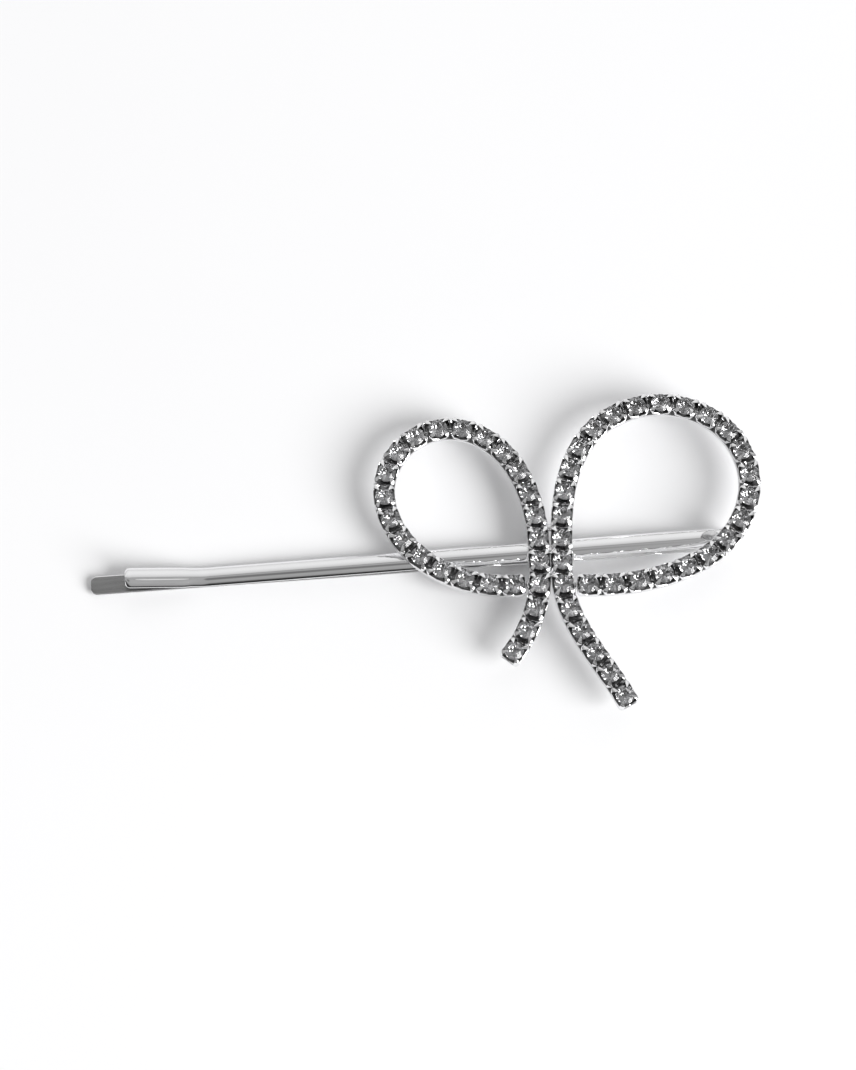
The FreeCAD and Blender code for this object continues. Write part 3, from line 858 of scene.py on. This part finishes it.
def make_solder():
    """A lump for every bead of solder, in a piece for every place that is soldered."""
    for name in sorted(frame["nodes"]):
        if not name.endswith("_solder"):
            continue
        row = Row()
        for part in sorted(loose_parts(name), key=lambda points: tuple(points.mean(0))):
            low, high = Vector(part.min(0)), Vector(part.max(0))
            if (high - low).x > CROSSING_LENGTH:
                middle, half = (low + high) / 2, (high - low) / 2
                half = Vector((half.x * CROSSING_DRAWN, half.y * CROSSING_DRAWN, half.z))
                low, high = middle - half, middle + half
            row.add(solder_lump(low, high, random_lumps()), Matrix.Identity(4))
        piece_name = name.replace("_solder", "_solder_lumps")
        row.make(piece_name, [SOLDER_METAL], [name], "solder", SOLDER_CREASE)


# ---- Stage ----

CAMERA_TARGET = Vector((22.51, 2.63, 1.5)) * MM
CAMERA_AZIMUTH, CAMERA_ELEVATION, CAMERA_ROLL = -12.0, 70.5, -7.31
CAMERA_DISTANCE = 220 * MM
CAMERA_LENS = 72.2
KEY_AZIMUTH, KEY_ELEVATION = 53.0, 33.0
KEY_DISTANCE, KEY_SIZE, KEY_POWER = 3.0, 2.1, 117.0
VIEWER_DARK_ANGLE, VIEWER_DARK = 14.0, 0.45     # the dark disc overhead, which shows in the stones
FLOOR_HALF, FLOOR_BELOW = 2000.0, 0.01          # half the floor's width, and its gap under the pin
BRIGHT_SIDE = (0.1, 0.8, 0.6)                   # where the room is brightest
ROOM_DIM, ROOM_BRIGHT = 0.32, 0.95              # its tones away from there and right there
ROOM_TONES = ((0.50, 0.40), (0.80, 0.42), (0.835, 0.30), (0.865, 0.68), (0.91, 0.74))   # and in between
# directions whose dot product with the view dims the room: from, to, and the factor at each
HORIZON_UP, HORIZON_FADE = (0.3, 0.35, 1.0), (-0.02, 0.2, 0.2, 1.0)
LOW_CORNER, CORNER_FADE = (-0.55, -0.83, 0.0), (0.69, 0.79, 1.0, 0.4)


def direction(azimuth, elevation):
    """Towards a point seen from the object; azimuth 0 is -Y and 90 is +X."""
    a, e = math.radians(azimuth), math.radians(elevation)
    return Vector((math.sin(a) * math.cos(e), -math.cos(a) * math.cos(e), math.sin(e)))


def make_camera():
    """A camera above and in front, slightly rolled."""
    data = bpy.data.cameras.new("camera")
    data.lens = CAMERA_LENS
    data.clip_start, data.clip_end = 0.01, 20
    camera = bpy.data.objects.new("camera", data)
    bpy.context.scene.collection.objects.link(camera)
    back = direction(CAMERA_AZIMUTH, CAMERA_ELEVATION)
    level = Vector((0, 0, 1)).cross(back).normalized()
    upright = back.cross(level)
    roll = math.radians(CAMERA_ROLL)
    right = level * math.cos(roll) - upright * math.sin(roll)
    up = level * math.sin(roll) + upright * math.cos(roll)
    at = CAMERA_TARGET + back * CAMERA_DISTANCE
    camera.matrix_world = placement(right, up, back, at)
    bpy.context.scene.camera = camera


def make_floor():
    """A wide sheet just under the pin."""
    half = FLOOR_HALF
    drop = cad_box[0].z / MM - FLOOR_BELOW
    corners = [(-half, -half, drop), (half, -half, drop), (half, half, drop), (-half, half, drop)]
    floor = new_object("floor", corners, [(0, 1, 2, 3)], [floor_surface()])


def make_key_light():
    """A large soft disc, low in front on the right."""
    data = bpy.data.lights.new("key", "AREA")
    data.shape = "DISK"
    data.size = KEY_SIZE
    data.energy = KEY_POWER
    light = bpy.data.objects.new("key", data)
    toward = direction(KEY_AZIMUTH, KEY_ELEVATION)
    light.location = CAMERA_TARGET + toward * KEY_DISTANCE
    light.rotation_mode = "QUATERNION"
    light.rotation_quaternion = toward.to_track_quat("Z", "Y")
    bpy.context.scene.collection.objects.link(light)


def fading(tree, view, towards, start, end, first, last):
    """A factor going from first to last as the view's dot product with towards goes from start to end."""
    facing = node(tree, "ShaderNodeVectorMath", {0: view, 1: towards}, operation="DOT_PRODUCT")
    ranges = {"From Min": start, "From Max": end, "To Min": first, "To Max": last}
    return node(
        tree, "ShaderNodeMapRange", {"Value": facing.outputs["Value"], **ranges},
        interpolation_type="SMOOTHSTEP",
    ).outputs["Result"]


def make_surroundings():
    """A soft room: bright behind the pin, grey on the viewer's side, dark overhead there and low down."""
    world = bpy.data.worlds.new("studio")
    bpy.context.scene.world = world
    world.use_nodes = True
    tree = world.node_tree
    view = node(tree, "ShaderNodeTexCoord").outputs["Generated"]
    bright_side = Vector(BRIGHT_SIDE).normalized()
    facing = node(tree, "ShaderNodeVectorMath", {0: view, 1: bright_side}, operation="DOT_PRODUCT")
    turned = node(tree, "ShaderNodeMapRange", {"Value": facing.outputs["Value"], "From Min": -1.0})
    glow = node(tree, "ShaderNodeValToRGB", {"Fac": turned.outputs["Result"]})
    stops = glow.color_ramp.elements
    stops[0].color = (ROOM_DIM, ROOM_DIM, ROOM_DIM, 1)
    stops[1].color = (ROOM_BRIGHT, ROOM_BRIGHT, ROOM_BRIGHT, 1)
    for position, tone in ROOM_TONES:
        stops.new(position).color = (tone, tone, tone, 1)
    overhead = direction(CAMERA_AZIMUTH, CAMERA_ELEVATION)
    disc_edge = math.cos(math.radians(VIEWER_DARK_ANGLE))
    strength = fading(tree, view, HORIZON_UP, *HORIZON_FADE)
    disc = fading(tree, view, overhead, disc_edge, 1.0, 1.0, VIEWER_DARK)
    corner = fading(tree, view, LOW_CORNER, *CORNER_FADE)
    for factor in (glow.outputs["Color"], disc, corner):
        strength = node(tree, "ShaderNodeMath", {0: strength, 1: factor}, operation="MULTIPLY").outputs[0]
    background = tree.nodes["Background"]
    tree.links.new(strength, background.inputs["Strength"])
    background.inputs["Color"].default_value = (1, 1, 1, 1)


# ---- Everything together ----

make_camera()
make_floor()
make_key_light()
make_surroundings()
bpy.context.scene.view_settings.view_transform = "Standard"
make_pin()
for side, places in seats().items():
    make_chain(side, places)
make_solder()
